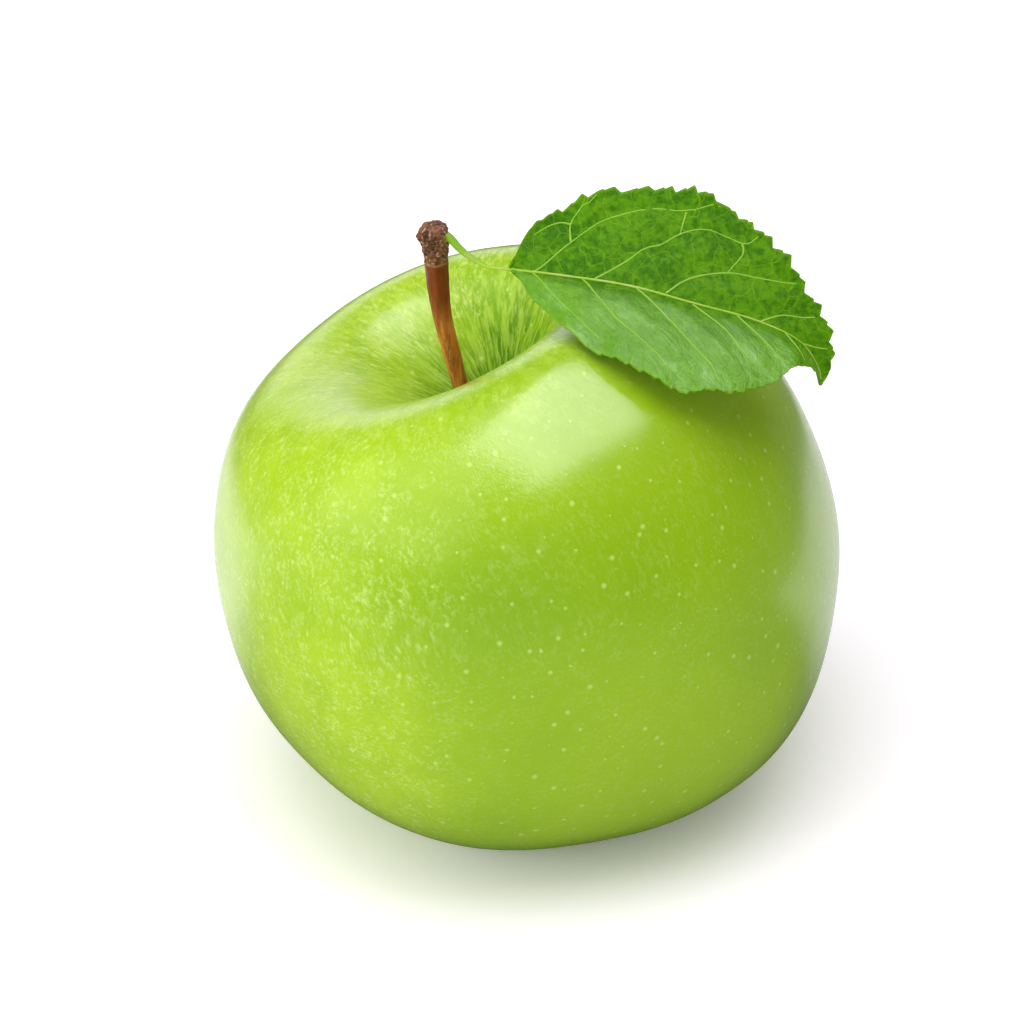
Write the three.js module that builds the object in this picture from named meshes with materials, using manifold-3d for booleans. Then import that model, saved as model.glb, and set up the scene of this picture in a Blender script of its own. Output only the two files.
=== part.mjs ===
// A green apple at rest: the fruit with its hollow crown and its calyx basin, the woody stem
// with the rough spur knob at its top, one toothed leaf on its stalk, and the dried remains
// of the flower in the basin underneath.
// Millimetres, +Z up. The front looks along -Y. The origin is in the middle of the underside,
// on the plane that the fruit rests on.

import * as THREE from 'three';
import { mergeVertices } from 'three/addons/utils/BufferGeometryUtils.js';
import Module from 'manifold-3d';

const wasm = await Module();
wasm.setup();

const DEGREE = Math.PI / 180;
const GAP = 0.3;

// ---- Fruit: driving dimensions -------------------------------------------------------------

const GIRTH_RADIUS = 40.1;
const CROWN_HEIGHT = 38;
const BASE_HEIGHT = 37;
const CROWN_ROUNDNESS = 0.75;
const BASE_ROUNDNESS = 0.8;
const BASE_FULLNESS = 0.084;

// The cheeks are uneven: each swelling is a share of the radius, towards a bearing in degrees.
const FULL_CHEEK = { share: 0.029, bearing: 19 };
const FULL_BASE = { share: 0.025, bearing: 190 };
const OVAL = { share: 0.043, bearing: 65 };
const LOBES = { count: 5, share: 0.019, bearing: 31 };

// The stem hollow is a wide bowl with a narrow funnel at its bottom, off the fruit's axis.
const HOLLOW_CENTRE = new THREE.Vector2(0.6, 7.5);
const BOWL = { depth: 16, width: 14.2, power: 2.2 };
const FUNNEL = { depth: 6, width: 6.5, power: 1.5 };
const BASIN = { depth: 8, width: 10, power: 2 };

// One shoulder of the crown stands higher than the other.
const HIGH_SHOULDER = { rise: 6.1, radius: 20, reach: 24, bearing: -22 };

// The fruit grew bent: it leans more and more to the left and nods forward towards its crown.
const LEAN = 12.7;
const NOD = 11.2;

// The bumps round the basin are worn flat where the fruit rests.
const REST_CUT = 0.6;

const FRUIT_SIDES = 72;
const FRUIT_ROWS = 54;

// ---- Stem, knob and leaf: driving dimensions -------------------------------------------------

const STEM_LINE = new THREE.CatmullRomCurve3([
  new THREE.Vector3(-6.9, 2.1, 46.8),
  new THREE.Vector3(-8.4, 1.6, 53.5),
  new THREE.Vector3(-9.9, 0.9, 60.6),
  new THREE.Vector3(-11, 0.4, 66),
  new THREE.Vector3(-11.5, -0.2, 72.4),
  new THREE.Vector3(-11.8, -1, 78.6),
]);
const STEM_FOOT_RADIUS = 1.15;
const STEM_WAIST_RADIUS = 0.95;
const STEM_HEAD_RADIUS = 1.5;
const STEM_SHARE = 0.82;
const STEM_SIDES = 12;
const STEM_STEPS = 18;
const SOCKET_SHARE = 0.16;

const KNOB_NECK_RADIUS = 1.42;
const KNOB_HEAD_RADIUS = 1.68;
const KNOB_ROUGHNESS = 0.14;

const STALK_START = new THREE.Vector3(-10.7, -1, 76.9);
const STALK_LINE = [
  new THREE.Vector3(-9.9, -1.5, 76.6),
  new THREE.Vector3(-8.8, -3.3, 76.2),
  new THREE.Vector3(-7.7, -5, 76),
  new THREE.Vector3(-5.2, -7.9, 75.8),
];
const STALK_RADIUS = 0.5;
const RIB_TIP_RADIUS = 0.2;
const RIB_DROP = 0.25;

const BLADE_MIDRIB = [
  new THREE.Vector3(-2.5, -9.3, 76.1),
  new THREE.Vector3(3.5, -10.5, 75.9),
  new THREE.Vector3(11.7, -11.9, 75.2),
  new THREE.Vector3(19.2, -12.8, 73.4),
  new THREE.Vector3(27.2, -12.5, 70.8),
  new THREE.Vector3(32.2, -12.3, 67.9),
  new THREE.Vector3(34.4, -12.4, 64.4),
  new THREE.Vector3(34.7, -12.6, 62.5),
];
const BLADE_BACK_EDGE = [
  new THREE.Vector3(-2.6, -9.2, 76.5),
  new THREE.Vector3(-0.3, -6.4, 80),
  new THREE.Vector3(4.1, -5, 82.5),
  new THREE.Vector3(11.2, -4.4, 84.2),
  new THREE.Vector3(17.6, -4.5, 84.4),
  new THREE.Vector3(22.3, -5.2, 82.9),
  new THREE.Vector3(27.3, -6.6, 79.7),
  new THREE.Vector3(32, -8.8, 74.4),
  new THREE.Vector3(35.2, -10.6, 69.3),
  new THREE.Vector3(35.9, -12, 64.8),
  new THREE.Vector3(34.7, -12.6, 62.5),
];
const BLADE_FRONT_EDGE = [
  new THREE.Vector3(-2.2, -9.7, 76),
  new THREE.Vector3(1.4, -14.6, 73.3),
  new THREE.Vector3(5.4, -19, 71.7),
  new THREE.Vector3(12.7, -21.9, 69),
  new THREE.Vector3(17.3, -22.6, 67.2),
  new THREE.Vector3(23.8, -21.2, 66),
  new THREE.Vector3(29.9, -17.7, 66.4),
  new THREE.Vector3(31.6, -15.9, 66.5),
  new THREE.Vector3(33.3, -13.8, 65.6),
  new THREE.Vector3(34.2, -13, 64.2),
  new THREE.Vector3(34.7, -12.6, 62.5),
];
const BLADE_THICKNESS = 0.5;
const BACK_BULGE = -0.5;
const FRONT_BULGE = 0.7;
const BLADE_STEPS = 112;
const BLADE_COLUMNS = 10;
const TEETH_A_SIDE = 18;
const TOOTH_DEPTH = 0.055;

// ---- Flower remains in the basin: driving dimensions -----------------------------------------

const SEPAL_COUNT = 5;
const SEPAL_LENGTH = 5.2;
const SEPAL_WIDTH = 2.7;
const SEPAL_THICKNESS = 0.45;
const SEPAL_RING_RADIUS = 2.4;
const SEPAL_SETBACK = 0.95;

const TUFT_RADIUS = 1.1;
const TUFT_HEIGHT = 0.7;
const STAMEN_COUNT = 7;
const STAMEN_LENGTH = 2.6;
const STAMEN_RADIUS = 0.2;

// ---- Helpers -------------------------------------------------------------------------------------

function material(color, roughness) {
  return new THREE.MeshStandardMaterial({ color, roughness, metalness: 0 });
}

function pieceMesh(name, geometry, color, roughness) {
  const mesh = new THREE.Mesh(geometry, material(color, roughness));
  mesh.name = name;
  return mesh;
}

function eachVertex(geometry, move) {
  const place = geometry.attributes.position;
  const point = new THREE.Vector3();
  for (let i = 0; i < place.count; i += 1) {
    point.fromBufferAttribute(place, i);
    move(point);
    place.setXYZ(i, point.x, point.y, point.z);
  }
  return geometry;
}

// Joins the doubled vertices of a three.js shape and leaves out the triangles that close up.
function weld(geometry) {
  const bare = geometry.clone();
  bare.deleteAttribute('normal');
  bare.deleteAttribute('uv');
  const joined = mergeVertices(bare, 1e-4);
  const corners = joined.index.array;
  const kept = [];
  for (let i = 0; i < corners.length; i += 3) {
    const [a, b, c] = [corners[i], corners[i + 1], corners[i + 2]];
    if (a !== b && b !== c && c !== a) kept.push(a, b, c);
  }
  joined.setIndex(kept);
  return joined;
}

function toSolid(geometry) {
  const welded = weld(geometry);
  return new wasm.Manifold(new wasm.Mesh({
    numProp: 3,
    vertProperties: new Float32Array(welded.attributes.position.array),
    triVerts: new Uint32Array(welded.index.array),
  }));
}

function fromSolid(solid) {
  const mesh = solid.getMesh();
  const geometry = new THREE.BufferGeometry();
  geometry.setAttribute('position', new THREE.BufferAttribute(mesh.vertProperties, 3));
  geometry.setIndex(new THREE.BufferAttribute(mesh.triVerts, 1));
  geometry.computeVertexNormals();
  return geometry;
}

// A round rod along a curve, between two shares of its length, with its own radius on the way.
function rodAlong(curve, from, to, radiusAt, sides, steps) {
  const front = new THREE.Vector3(0, 1, 0);
  const rod = new THREE.CylinderGeometry(1, 1, 1, sides, steps);
  return eachVertex(rod, (point) => {
    const climb = point.y + 0.5;
    const share = from + (to - from) * climb;
    const centre = curve.getPointAt(share);
    const ahead = curve.getTangentAt(share);
    const side = new THREE.Vector3().crossVectors(front, ahead).normalize();
    const across = new THREE.Vector3().crossVectors(ahead, side);
    const radius = radiusAt(climb);
    const x = point.x * radius;
    const z = point.z * radius;
    point.copy(centre).addScaledVector(side, z).addScaledVector(across, x);
  });
}

// A thin sheet: place(along, across) gives its middle surface, along 0 to 1, across -1 to 1.
function sheet(place, thickness, steps, columns) {
  const nudge = 0.004;
  const slab = new THREE.BoxGeometry(1, 2, 1, steps, columns, 1);
  return eachVertex(slab, (point) => {
    const along = point.x + 0.5;
    const across = point.y;
    const back = place(Math.max(along - nudge, 0), across);
    const ahead = place(Math.min(along + nudge, 1), across);
    const left = place(along, Math.max(across - nudge, -1));
    const right = place(along, Math.min(across + nudge, 1));
    const up = new THREE.Vector3().crossVectors(ahead.sub(back), right.sub(left)).normalize();
    const height = point.z * thickness;
    point.copy(place(along, across)).addScaledVector(up, height);
  });
}

// ---- Fruit ---------------------------------------------------------------------------------------

// Half the outline of the round body before it is shaped, from the base to the crown.
function bodyProfile() {
  const profile = [];
  for (let row = 0; row <= FRUIT_ROWS; row += 1) {
    const climb = 90 * Math.sin((180 * row / FRUIT_ROWS - 90) * DEGREE) * DEGREE;
    const rise = Math.sin(climb);
    const girth = Math.max(Math.cos(climb), 0);
    const share = THREE.MathUtils.clamp(rise * 2 + 0.5, 0, 1);
    const roundness = THREE.MathUtils.lerp(BASE_ROUNDNESS, CROWN_ROUNDNESS, share);
    const radius = GIRTH_RADIUS * girth ** roundness * (1 - BASE_FULLNESS * rise * girth);
    const onAxis = row === 0 || row === FRUIT_ROWS;
    profile.push(new THREE.Vector2(onAxis ? 0 : radius, rise * (rise > 0 ? CROWN_HEIGHT : BASE_HEIGHT)));
  }
  return profile;
}

function swelling(turn, rise) {
  const low = (1 - rise) / 2;
  const towards = (bulge, waves) => Math.cos(waves * (turn - bulge.bearing * DEGREE));
  return 1
    + FULL_CHEEK.share * towards(FULL_CHEEK, 1)
    + FULL_BASE.share * 2 * low * towards(FULL_BASE, 1)
    + OVAL.share * towards(OVAL, 2)
    + LOBES.share * (0.3 + 0.7 * low) * towards(LOBES, LOBES.count);
}

function dip(hollow, distance) {
  return hollow.depth * Math.exp(-((distance / hollow.width) ** hollow.power));
}

function shapeFruit(point) {
  const turn = Math.atan2(point.y, point.x);
  const rise = point.z / (point.z > 0 ? CROWN_HEIGHT : BASE_HEIGHT);
  const swell = swelling(turn, rise);
  point.x *= swell;
  point.y *= swell;
  const radius = Math.hypot(point.x, point.y);
  const fromHollow = Math.hypot(point.x - HOLLOW_CENTRE.x, point.y - HOLLOW_CENTRE.y);
  const above = THREE.MathUtils.clamp(4 * rise, 0, 1);
  const below = THREE.MathUtils.clamp(-4 * rise, 0, 1);
  point.z += below * dip(BASIN, radius) - above * (dip(BOWL, fromHollow) + dip(FUNNEL, fromHollow));
  const shoulder = (radius / HIGH_SHOULDER.radius) * Math.exp(-((radius / HIGH_SHOULDER.reach) ** 2));
  const facing = Math.cos(turn - HIGH_SHOULDER.bearing * DEGREE);
  point.z += HIGH_SHOULDER.rise * Math.max(rise, 0) ** 2 * shoulder * facing;
}

function bendFruit(point) {
  const height = point.z + BASE_HEIGHT;
  const share = THREE.MathUtils.clamp(height / (BASE_HEIGHT + CROWN_HEIGHT), 0, 1);
  const lean = LEAN * DEGREE * share;
  const nod = NOD * DEGREE * share;
  const x = point.x * Math.cos(lean) - height * Math.sin(lean);
  const z = point.x * Math.sin(lean) + height * Math.cos(lean);
  point.set(x, point.y * Math.cos(nod) - z * Math.sin(nod), point.y * Math.sin(nod) + z * Math.cos(nod));
}

function grownBody() {
  const body = new THREE.LatheGeometry(bodyProfile(), FRUIT_SIDES);
  body.rotateX(90 * DEGREE);
  eachVertex(body, (point) => {
    shapeFruit(point);
    bendFruit(point);
  });
  return weld(body);
}

// Moves the grown body so that it rests on z = 0 with the middle of its box over the origin.
function restingShift(body) {
  body.computeBoundingBox();
  const { min, max } = body.boundingBox;
  return new THREE.Vector3(-(min.x + max.x) / 2, -(min.y + max.y) / 2, -min.z - REST_CUT);
}

const BODY = grownBody();
const TO_REST = restingShift(BODY);

function fruitMesh() {
  const above = new THREE.BoxGeometry(200, 200, 200).translate(0, 0, 100);
  const socket = rodAlong(STEM_LINE, 0, SOCKET_SHARE, () => STEM_FOOT_RADIUS + GAP, STEM_SIDES, 6);
  const skin = BODY.clone().translate(TO_REST.x, TO_REST.y, TO_REST.z);
  const solid = toSolid(skin).intersect(toSolid(above)).subtract(toSolid(socket));
  return pieceMesh('fruit', fromSolid(solid), 0x9bbf1c, 0.35);
}

// ---- Stem and spur knob --------------------------------------------------------------------------

function stemRadius(climb) {
  const foot = STEM_FOOT_RADIUS * (1 - climb) ** 6;
  const waist = STEM_WAIST_RADIUS * (1 - (1 - climb) ** 6);
  const head = (STEM_HEAD_RADIUS - STEM_WAIST_RADIUS) * climb ** 2.2;
  return foot + waist + head;
}

function stemMesh() {
  const start = GAP / STEM_LINE.getLength();
  const stem = rodAlong(STEM_LINE, start, STEM_SHARE, stemRadius, STEM_SIDES, STEM_STEPS);
  return pieceMesh('stem', weld(stem), 0x8a4416, 0.6);
}

function knobRadius(climb) {
  const swell = THREE.MathUtils.smoothstep(climb, 0, 0.75);
  const cap = Math.sqrt(Math.max(1 - (Math.max(climb - 0.8, 0) / 0.24) ** 2, 0));
  return THREE.MathUtils.lerp(KNOB_NECK_RADIUS, KNOB_HEAD_RADIUS, swell) * cap;
}

function roughen(point, amount) {
  const x = Math.sin(point.x * 5.1 + point.z * 2.3);
  const y = Math.sin(point.y * 4.7 - point.z * 3.1 + 1);
  const z = Math.sin(point.z * 4.3 + point.x * 1.9 + 2);
  point.add(new THREE.Vector3(x, y, z).multiplyScalar(amount));
}

function knobMesh() {
  const start = STEM_SHARE + GAP / STEM_LINE.getLength();
  const knob = weld(rodAlong(STEM_LINE, start, 1, knobRadius, 16, 12));
  const seat = STEM_LINE.getPointAt(start);
  const ahead = STEM_LINE.getTangentAt(start);
  eachVertex(knob, (point) => {
    const height = point.clone().sub(seat).dot(ahead);
    roughen(point, KNOB_ROUGHNESS * THREE.MathUtils.clamp(height, 0, 1));
  });
  const line = ribLine();
  const bite = rodAlong(line, 0, 0.06, () => STALK_RADIUS + GAP, 12, 4);
  const solid = toSolid(knob).subtract(toSolid(bite));
  return pieceMesh('spur_knob', fromSolid(solid), 0x5a3015, 0.85);
}

// ---- Leaf ----------------------------------------------------------------------------------------

const MIDRIB = new THREE.CatmullRomCurve3(BLADE_MIDRIB);
const BACK_EDGE = new THREE.CatmullRomCurve3(BLADE_BACK_EDGE);
const FRONT_EDGE = new THREE.CatmullRomCurve3(BLADE_FRONT_EDGE);

// The stalk and the midrib are one line, from the knob to the tip of the blade.
function ribLine() {
  const drop = new THREE.Vector3(0, 0, -RIB_DROP);
  const under = BLADE_MIDRIB.map((point) => point.clone().add(drop));
  return new THREE.CatmullRomCurve3([STALK_START, ...STALK_LINE, ...under]);
}

// The teeth lean towards the tip: each rises slowly and falls back at once.
function tooth(along) {
  const turn = along * TEETH_A_SIDE;
  return (turn - Math.floor(turn)) ** 0.8 - 0.5;
}

function bladePoint(along, across) {
  const middle = MIDRIB.getPointAt(along);
  const edge = (across > 0 ? BACK_EDGE : FRONT_EDGE).getPointAt(along);
  const out = Math.abs(across);
  const fade = Math.min(along * 8, (1 - along) * 8, 1);
  const reach = out * (1 + TOOTH_DEPTH * fade * tooth(along) * THREE.MathUtils.smoothstep(out, 0.6, 1));
  const point = middle.clone().lerp(edge, reach);
  point.z += (across > 0 ? BACK_BULGE : FRONT_BULGE) * fade * out * (1 - out) * 4;
  return point;
}

function leafMesh() {
  const blade = sheet(bladePoint, BLADE_THICKNESS, BLADE_STEPS, BLADE_COLUMNS);
  const line = ribLine();
  const start = GAP / line.getLength();
  const radiusAt = (climb) => THREE.MathUtils.lerp(STALK_RADIUS, RIB_TIP_RADIUS, climb);
  const rib = rodAlong(line, start, 0.97, radiusAt, 8, 30);
  const solid = toSolid(blade).add(toSolid(rib));
  return pieceMesh('leaf', fromSolid(solid), 0x4b8c14, 0.45);
}

// ---- Flower remains ------------------------------------------------------------------------------

// The floor of the basin, where the remains sit.
function basinFloor() {
  const floor = new THREE.Vector3(0, 0, -BASE_HEIGHT);
  shapeFruit(floor);
  bendFruit(floor);
  return floor.add(TO_REST);
}

const FLOOR = basinFloor();

// A dried sepal hangs from the floor, draws in over the tuft and turns out again at its tip.
function sepalPoint(along, across) {
  const out = SEPAL_RING_RADIUS - 0.5 * Math.sin(180 * DEGREE * along) + 1.5 * along ** 2;
  const down = SEPAL_SETBACK + SEPAL_LENGTH * (0.72 * along - 0.1 * along ** 2);
  const width = SEPAL_WIDTH * (1 - along) ** 0.7 + 0.3;
  const cup = 0.35 * across ** 2 * (1 - along);
  return new THREE.Vector3(out - cup, across * width / 2, -down);
}

function sepalMesh(index) {
  const sepal = sheet(sepalPoint, SEPAL_THICKNESS, 8, 4);
  sepal.rotateZ((index * 360 / SEPAL_COUNT + LOBES.bearing) * DEGREE);
  sepal.translate(FLOOR.x, FLOOR.y, FLOOR.z);
  return pieceMesh(`sepal_${index + 1}`, weld(sepal), 0x6e4a22, 0.9);
}

function tuftMesh() {
  const disc = new THREE.CylinderGeometry(TUFT_RADIUS, TUFT_RADIUS * 0.7, TUFT_HEIGHT, 12);
  disc.rotateX(90 * DEGREE);
  let solid = toSolid(disc.translate(0, 0, -GAP - TUFT_HEIGHT / 2));
  for (let i = 0; i < STAMEN_COUNT; i += 1) {
    const turn = i * 360 / STAMEN_COUNT * DEGREE;
    const out = i === 0 ? 0 : TUFT_RADIUS * 0.6;
    const length = STAMEN_LENGTH * (0.8 + 0.2 * Math.cos(2.4 * i));
    const stamen = new THREE.CylinderGeometry(STAMEN_RADIUS, STAMEN_RADIUS, length, 5);
    const anther = new THREE.IcosahedronGeometry(STAMEN_RADIUS * 1.6, 0).translate(0, -length / 2, 0);
    const place = new THREE.Vector3(out * Math.cos(turn), out * Math.sin(turn), -GAP - 0.3 - length / 2);
    for (const bit of [stamen, anther]) {
      bit.rotateX(90 * DEGREE).translate(place.x, place.y, place.z);
      solid = solid.add(toSolid(bit));
    }
  }
  const tuft = fromSolid(solid).translate(FLOOR.x, FLOOR.y, FLOOR.z);
  return pieceMesh('stamen_tuft', tuft, 0x4a3018, 0.9);
}

// ---- The whole apple -----------------------------------------------------------------------------

const apple = new THREE.Group();
apple.add(fruitMesh(), stemMesh(), knobMesh(), leafMesh(), tuftMesh());
for (let index = 0; index < SEPAL_COUNT; index += 1) {
  apple.add(sepalMesh(index));
}

export default apple;
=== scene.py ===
"""A green apple at rest: waxy dotted skin, a woody stem with its rough knob, one toothed leaf,
and the dried flower in the basin underneath. Blender 4.5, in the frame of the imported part."""

import math

import bpy
import numpy as np
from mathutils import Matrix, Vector, noise


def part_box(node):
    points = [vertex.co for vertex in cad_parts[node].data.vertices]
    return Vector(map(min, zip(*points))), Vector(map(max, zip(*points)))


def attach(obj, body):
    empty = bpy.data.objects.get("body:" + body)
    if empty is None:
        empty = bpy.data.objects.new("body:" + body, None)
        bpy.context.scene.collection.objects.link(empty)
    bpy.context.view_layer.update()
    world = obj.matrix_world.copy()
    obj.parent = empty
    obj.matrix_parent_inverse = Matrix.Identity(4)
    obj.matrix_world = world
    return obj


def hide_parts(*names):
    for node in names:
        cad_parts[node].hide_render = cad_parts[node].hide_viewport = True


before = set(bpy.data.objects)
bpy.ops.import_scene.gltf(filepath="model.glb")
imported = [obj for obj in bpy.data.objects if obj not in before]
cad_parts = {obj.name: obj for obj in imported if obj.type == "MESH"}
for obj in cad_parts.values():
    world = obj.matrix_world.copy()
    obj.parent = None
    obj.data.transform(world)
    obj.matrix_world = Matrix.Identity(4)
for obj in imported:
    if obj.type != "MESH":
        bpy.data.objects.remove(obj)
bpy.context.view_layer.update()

MM = 0.001
DEGREE = math.pi / 180
QUARTER_TURN = 90 * DEGREE
BACKWARD = np.array([0.0, 1.0, 0.0])

# ---- Sizes, in millimetres and degrees -----------------------

GIRTH_RADIUS = 40.1
CROWN_HEIGHT = 38
BASE_HEIGHT = 37
CROWN_ROUNDNESS = 0.75
BASE_ROUNDNESS = 0.8
BASE_FULLNESS = 0.084

# Swellings of the girth, each as (share of the radius, bearing).
FULL_CHEEK = (0.029, 19)
FULL_BASE = (0.025, 190)
OVAL = (0.043, 65)
LOBES = (0.019, 31)
LOBE_COUNT = 5
# The share of the lobes that is left on the crown.
CROWN_LOBES = 0.3

# Hollows, each as (depth, width, steepness of the wall).
BOWL = (16, 14.2, 2.2)
FUNNEL = (6, 6.5, 1.5)
BASIN = (8, 10, 2)
HOLLOW_CENTRE = (0.6, 7.5)
HOLLOW_ONSET = 4

HIGH_SHOULDER_RISE = 6.1
HIGH_SHOULDER_RADIUS = 20
HIGH_SHOULDER_REACH = 24
HIGH_SHOULDER_BEARING = -22
LEAN = 12.7
NOD = 11.2
REST_CUT = 0.6

SKIN_SIDES = 316
SKIN_ROWS = 300
SKIN_WAVE = 0.16
SKIN_WAVE_SPACING = 13

# Where the skin changes: reaches round the middle of the stem hollow, a stretch towards it, two
# stretches towards the left, and one of height.
DEEP_REACH = 13.5
# The hollow's inner wall within this reach is painted with shade all round.
SHADED_WALL_REACH = 8.5
STEM_RING_REACH = 3.2
CROWN_STRETCH = (-34, -10)
ROUGH_STRETCH = (-16, 10)
# The left cheek and the top of its side are painted paler: partly the skin's own tone, partly painted light
# from the left.
PALE_STRETCH = (-2, 24)
PALE_CROWN_STRETCH = (40, 62)
# Bearing round the stem hollow of its side that is painted with shade.
SHADED_BEARING = -15
# The share of the skin's roughness that is left on its right side.
SMOOTHEST = 0.1

# The deeper green on the front of the upper cheek: its middle, and its reach to the sides.
GREEN_PATCH = (-4, -38, 48)
GREEN_PATCH_SIZE = (20, 14, 10)

# Streaks of the skin: how far they are drawn out, and where those of the body take over.
STREAK_LENGTH = 38
BODY_RISE = 0.3
BODY_WALK = (46, 42)

STEM_POINTS = [
    (-6.9, 2.1, 46.8),
    (-8.4, 1.6, 53.5),
    (-9.9, 0.9, 60.6),
    (-11, 0.4, 66),
    (-11.5, -0.2, 72.4),
    (-11.8, -1, 78.6),
]
STEM_FOOT_RADIUS = 1.15
STEM_WAIST_RADIUS = 0.95
STEM_HEAD_RADIUS = 1.5
STEM_SHARE = 0.82
KNOB_NECK_RADIUS = 1.42
KNOB_HEAD_RADIUS = 1.66
STEM_FOOT = 0.02
KNOB_TIP = 0.985
STEM_OVERLAP = (0.012, 0.004)

# Ridges along the stem, each as (height, count around, twist), and rings round the knob, each as
# (height, share of the knob's length, width).
STEM_RIDGES = [(0.035, 5, 3), (0.02, 9, -5)]
KNOB_RINGS = [(0.09, 0.06, 0.035), (0.07, 0.2, 0.03), (0.06, 0.33, 0.03)]

# Layers of roughness, each as (spacing, seed, height).
STEM_ROUGHNESS = [(0.55, 3, 0.035), (1.6, 4, 0.05)]
KNOB_LUMPS = [(1.1, 5, 0.26), (0.5, 6, 0.17)]
KNOB_GRAINS = (0.27, 7, 0.14)
KNOB_ROUGH_HEIGHTS = (73.2, 75.5)
NUB_SPOT = (-13.5, -1.0, 76.4)
NUB_HEIGHT = 0.55
NUB_REACH = 0.5

STALK_POINTS = [
    (-11.3, -0.8, 77.1),
    (-9.9, -1.5, 76.6),
    (-8.8, -3.3, 76.2),
    (-7.7, -5.0, 76.0),
    (-5.2, -7.9, 75.8),
    (-2.5, -9.3, 76.1),
]
STALK_RADIUS = 0.5
RIB_RADIUS = 0.19
RIB_TIP_RADIUS = 0.11

BLADE_MIDRIB = [
    (-2.5, -9.3, 76.1),
    (3.5, -10.5, 75.9),
    (11.7, -11.9, 75.2),
    (19.2, -12.8, 73.4),
    (27.2, -12.5, 70.8),
    (32.2, -12.3, 67.9),
    (34.4, -12.4, 64.4),
    (34.7, -12.6, 62.5),
]
BLADE_BACK_EDGE = [
    (-2.6, -9.2, 76.5),
    (-0.3, -6.4, 80.0),
    (4.1, -5.0, 82.5),
    (11.2, -4.4, 84.2),
    (17.6, -4.5, 84.4),
    (22.3, -5.2, 82.9),
    (27.3, -6.6, 79.7),
    (32.0, -8.8, 74.4),
    (35.2, -10.6, 69.3),
    (35.9, -12.0, 64.8),
    (34.7, -12.6, 62.5),
]
BLADE_FRONT_EDGE = [
    (-2.2, -9.7, 76.0),
    (1.4, -14.6, 73.3),
    (5.4, -19.0, 71.7),
    (12.7, -21.9, 69.0),
    (17.3, -22.6, 67.2),
    (23.8, -21.2, 66.0),
    (29.9, -17.7, 66.4),
    (31.6, -15.9, 66.5),
    (33.3, -13.8, 65.6),
    (34.2, -13.0, 64.2),
    (34.7, -12.6, 62.5),
]
BLADE_THICKNESS = 0.3
BACK_BULGE = -0.5
FRONT_BULGE = 0.7
QUILT_HEIGHT = 0.32
QUILT_WIDTH = 2.2
MARGIN_WAVE = 0.3
MARGIN_WAVES = (29, 53)
BLADE_STEPS = 400
BLADE_COLUMNS = 108

# Teeth along the two edges of the blade, as (count, depth).
BACK_TEETH = (18, 0.9)
FRONT_TEETH = (28, 0.45)

# Side veins, each as (share along the blade, share from the midrib to the edge).
BACK_VEINS = [
    [(0.065, 0.02), (0.12, 0.3), (0.185, 0.54), (0.28, 0.74), (0.37, 0.82), (0.45, 0.83), (0.52, 0.97)],
    [(0.185, 0.55), (0.19, 0.78), (0.205, 0.87), (0.25, 0.97)],
    [(0.19, 0.78), (0.16, 0.85), (0.1, 0.84)],
    [
        (0.24, 0.02), (0.33, 0.3), (0.37, 0.44), (0.4, 0.48), (0.445, 0.62), (0.52, 0.75),
        (0.59, 0.79), (0.62, 0.94),
    ],
    [(0.44, 0.02), (0.49, 0.23), (0.58, 0.44), (0.65, 0.56), (0.715, 0.73), (0.75, 0.9)],
    [(0.72, 0.02), (0.76, 0.34), (0.8, 0.57), (0.83, 0.84)],
    [(0.59, 0.79), (0.6, 0.72), (0.58, 0.44)],
    [(0.45, 0.82), (0.445, 0.62)],
    [(0.86, 0.02), (0.885, 0.35), (0.91, 0.8)],
]
FRONT_VEINS = [
    [(0.06, -0.02), (0.09, -0.35), (0.14, -0.6), (0.24, -0.76), (0.31, -0.84)],
    [(0.205, -0.02), (0.265, -0.3), (0.345, -0.56), (0.39, -0.64), (0.48, -0.8), (0.51, -0.92)],
    [(0.36, -0.02), (0.465, -0.31), (0.535, -0.5), (0.6, -0.72), (0.63, -0.92)],
    [(0.52, -0.02), (0.615, -0.24), (0.68, -0.52), (0.74, -0.8)],
    [(0.65, -0.02), (0.73, -0.3), (0.79, -0.62), (0.83, -0.85)],
    [(0.8, -0.02), (0.85, -0.4), (0.89, -0.8)],
]
VEIN_RADIUS = 0.15
VEIN_TIP_RADIUS = 0.08
VEIN_LIFT = 0.12
VEIN_UNDERSIDE_FULLNESS = 1.3

# The way that the front half of the blade hangs, from the midrib to its edge.
HANG = (0.64, -0.5, -0.58)

SEPAL_COUNT = 5
SEPAL_LENGTH = 5.2
SEPAL_WIDTH = 2.7
SEPAL_TIP_WIDTH = 0.12
SEPAL_THICKNESS = 0.3
SEPAL_RING_RADIUS = 2.4
SEPAL_SETBACK = 0.7
TUFT_RADIUS = 1.1
STAMEN_COUNT = 11
STAMEN_LENGTH = 2.6
STAMEN_RADIUS = 0.16
# Radians from one stamen to the next.
STAMEN_TURN = 2.4

# ---- Camera: where the looker stands -------------------------

CAMERA_SPOT = (-0.57, -375.8, 249.4)
CAMERA_AIM = (-2.37, 5.02, 35.0)
CAMERA_LENS = 119.8


def set_camera():
    camera = bpy.data.objects.new("camera", bpy.data.cameras.new("camera"))
    bpy.context.collection.objects.link(camera)
    spot = Vector(CAMERA_SPOT) * MM
    camera.location = spot
    camera.rotation_euler = (Vector(CAMERA_AIM) * MM - spot).to_track_quat("-Z", "Y").to_euler()
    camera.data.lens = CAMERA_LENS
    camera.data.clip_start = 0.01
    bpy.context.scene.camera = camera


# ---- Handling meshes -----------------------------------------

MERGE_DISTANCE = 2e-7


def clear_selection():
    bpy.ops.object.select_all(action="DESELECT")


def work_on(*pieces):
    """Selects these pieces and no others; the first is the active one."""
    clear_selection()
    for piece in pieces:
        piece.select_set(True)
    bpy.context.view_layer.objects.active = pieces[0]


def take(name):
    """Names the piece that was just added or joined, and its mesh."""
    piece = bpy.context.object
    piece.name = name
    piece.data.name = name
    return piece


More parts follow.
